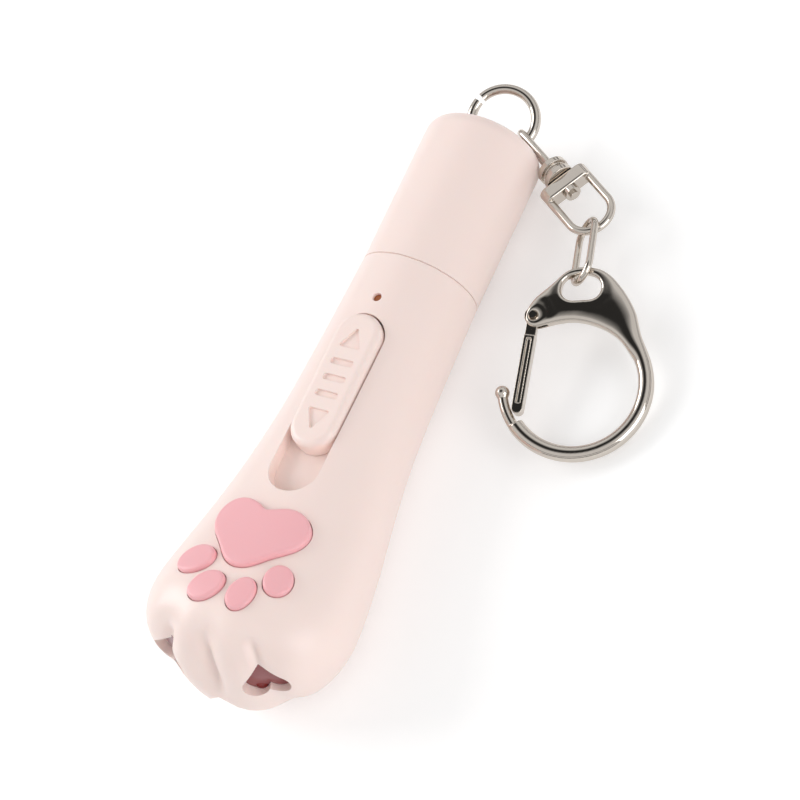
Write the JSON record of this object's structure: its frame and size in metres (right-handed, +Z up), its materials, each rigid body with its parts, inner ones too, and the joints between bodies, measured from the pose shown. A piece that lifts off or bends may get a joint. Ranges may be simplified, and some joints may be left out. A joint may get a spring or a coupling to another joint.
{
  "type": "cat laser pointer",
  "caption": "Paw-shaped handheld cat laser pointer with a thumb slider, heart light openings, a cap over its charging plug, and a swivel claw clip on a key ring.",
  "frame": {"origin": "middle of the narrow flat under the body, halfway between the toe tips and the closed end of the cap, on the table", "axes": "+Y along the body from the toes towards the cap and its ring, +Z up through the pads and the slider, +X across the body towards the swivel clip"},
  "size_m": [0.0596, 0.1142, 0.0246],
  "materials": {
    "pink_plastic": "satin moulded pale pink",
    "pad_rubber": "soft matt rose",
    "white_plastic": "matt moulded",
    "black_plastic": "matt moulded",
    "clear_pipe": "clear, lit amber from below",
    "led_lens": "clear epoxy over yellow phosphor",
    "violet_glass": "violet tinted epoxy",
    "red_glass": "clear lens over the red source",
    "plug_steel": "plated sheet steel",
    "gilt": "bright gilt",
    "board_green": "solder mask on glass fibre",
    "cell_foil": "satin foil pouch",
    "nickel": "bright nickel plate on zinc"
  },
  "bodies": {
    "housing": {"paw_shell": "pink_plastic", "main_pad": "pad_rubber", "toe_pad_1": "pad_rubber", "toe_pad_2": "pad_rubber", "toe_pad_3": "pad_rubber", "toe_pad_4": "pad_rubber", "slide_switch": "black_plastic", "light_pipe": "clear_pipe", "charge_led": "led_lens", "plug_collar": "white_plastic", "usb_plug_shell": "plug_steel", "usb_tongue": "black_plastic", "usb_contacts": "gilt", "inner_chassis": "white_plastic", "circuit_board": "board_green", "board_screws": "plug_steel", "battery_cell": "cell_foil", "emitter_bracket": "white_plastic", "light_liner": "pink_plastic", "laser_barrel": "gilt", "laser_lens": "red_glass", "uv_led": "violet_glass", "white_led": "led_lens"},
    "slider": {"slider_knob": "pink_plastic", "slider_carrier": "white_plastic"},
    "cap": {"cap": "pink_plastic"},
    "ring": {"key_ring": "nickel"},
    "eye": {"swivel_eye": "nickel", "swivel_rivet": "nickel"},
    "bail": {"swivel_bail": "nickel"},
    "link": {"connecting_link": "nickel"},
    "clip": {"clip_hook": "nickel", "gate_pin": "nickel"},
    "gate": {"clip_gate": "nickel"}
  },
  "joints": [
    {"name": "slider_slide", "type": "slide", "parent": "housing", "child": "slider", "axis": [0, -1, 0], "range_m": [0, 0.0075]},
    {"name": "cap_pull", "type": "slide", "parent": "housing", "child": "cap", "axis": [0, 1, 0], "range_m": [0, 0.024]},
    {"name": "ring_swing", "type": "hinge", "parent": "cap", "child": "ring", "pos_m": [0, 0.0607, 0.00775], "axis": [0.9611, 0, -0.2761], "range_deg": [-45, 0]},
    {"name": "eye_swing", "type": "hinge", "parent": "ring", "child": "eye", "pos_m": [0.00495, 0.06398, 0.00702], "axis": [0.4113, 0.9084, 0.0751], "range_deg": [-5, 30]},
    {"name": "bail_spin", "type": "hinge", "parent": "eye", "child": "bail", "pos_m": [0.01521, 0.05734, 0.00702], "axis": [0.8398, -0.5429, 0], "range_deg": [-60, 60]},
    {"name": "link_swing", "type": "hinge", "parent": "bail", "child": "link", "pos_m": [0.0223, 0.05008, 0.00702], "axis": [0.939, 0.344, 0], "range_deg": [-20, 25]},
    {"name": "clip_swing", "type": "hinge", "parent": "link", "child": "clip", "pos_m": [0.02527, 0.04205, 0.00867], "axis": [0.9128, 0.3842, -0.1388], "range_deg": [-25, 25]},
    {"name": "gate_open", "type": "hinge", "parent": "clip", "child": "gate", "pos_m": [0.02066, 0.0328, 0.00824], "axis": [0.21, -0.15, 0.9661], "range_deg": [0, 18], "stiffness_Nm_per_rad": 0.004, "springref_deg": -17.19}
  ]
}
